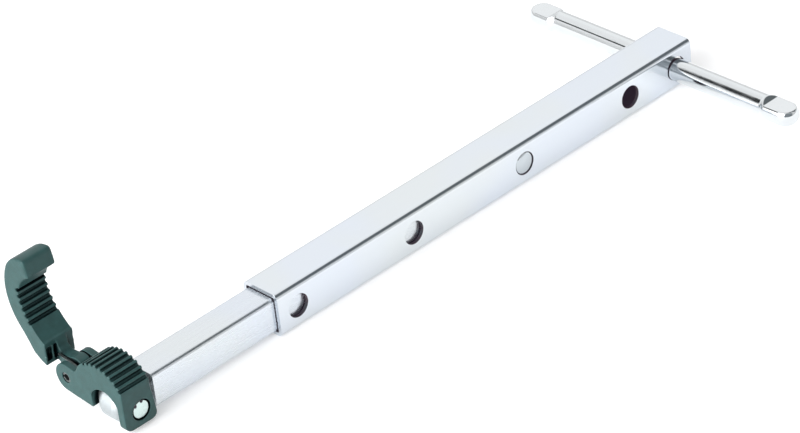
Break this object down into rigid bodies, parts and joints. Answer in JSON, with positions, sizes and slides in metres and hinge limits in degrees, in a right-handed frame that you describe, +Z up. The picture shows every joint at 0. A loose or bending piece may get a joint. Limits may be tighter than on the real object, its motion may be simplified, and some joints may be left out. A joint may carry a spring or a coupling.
{
  "type": "basin wrench",
  "caption": "Telescoping basin wrench with a sliding T-handle, a snap-button length lock and a flip-over head with a spring-loaded toothed hook jaw.",
  "frame": {"origin": "middle of the outer tube's underside, halfway between its two ends and its two sides", "axes": "+X along the tubes towards the T-handle, +Z up out of the tubes' top face, +Y towards the side that the hook jaw swings out on"},
  "size_m": [0.3125, 0.146, 0.0593],
  "materials": {
    "plated_tube": "satin zinc-chrome plate",
    "plated_bar": "polished chrome plate",
    "plated_button": "polished chrome plate",
    "plated_lug": "bright plate on a turned casting",
    "jaw_steel": "black phosphate on forged steel",
    "rivet_steel": "bright head, staked",
    "spring_steel": "oiled spring steel"
  },
  "bodies": {
    "outer": {"outer_tube": "plated_tube"},
    "bar": {"handle_bar": "plated_bar"},
    "shaft": {"inner_tube": "plated_tube", "pivot_lug": "plated_lug", "button_spring": "spring_steel"},
    "button": {"snap_button": "plated_button"},
    "head": {"heel_jaw": "jaw_steel", "pivot_rivet": "rivet_steel", "thrust_washer": "spring_steel", "disc_spring": "spring_steel", "hook_pin": "spring_steel", "hook_spring": "spring_steel"},
    "hook": {"hook_jaw": "jaw_steel"}
  },
  "joints": [
    {"name": "handle_slide", "type": "slide", "parent": "outer", "child": "bar", "axis": [0, 1, 0], "range_m": [-0.0463, 0.0483]},
    {"name": "shaft_slide", "type": "slide", "parent": "outer", "child": "shaft", "axis": [1, 0, 0], "range_m": [-0.124, 0.062], "deforming": ["snap_button"]},
    {"name": "button_press", "type": "slide", "parent": "shaft", "child": "button", "axis": [0, 1, 0], "range_m": [0, 0.0025], "stiffness_N_per_m": 1200, "springref_m": -0.002, "deforming": ["button_spring"]},
    {"name": "head_flip", "type": "hinge", "parent": "shaft", "child": "head", "pos_m": [-0.1875, 0, 0.0083], "axis": [0, -1, 0], "range_deg": [0, 180]},
    {"name": "hook_swing", "type": "hinge", "parent": "head", "child": "hook", "pos_m": [-0.189, 0.0215, 0.0134], "axis": [1, 0, 0], "range_deg": [0, 80], "stiffness_Nm_per_rad": 0.1, "springref_deg": -20.05, "deforming": ["hook_spring"]}
  ]
}
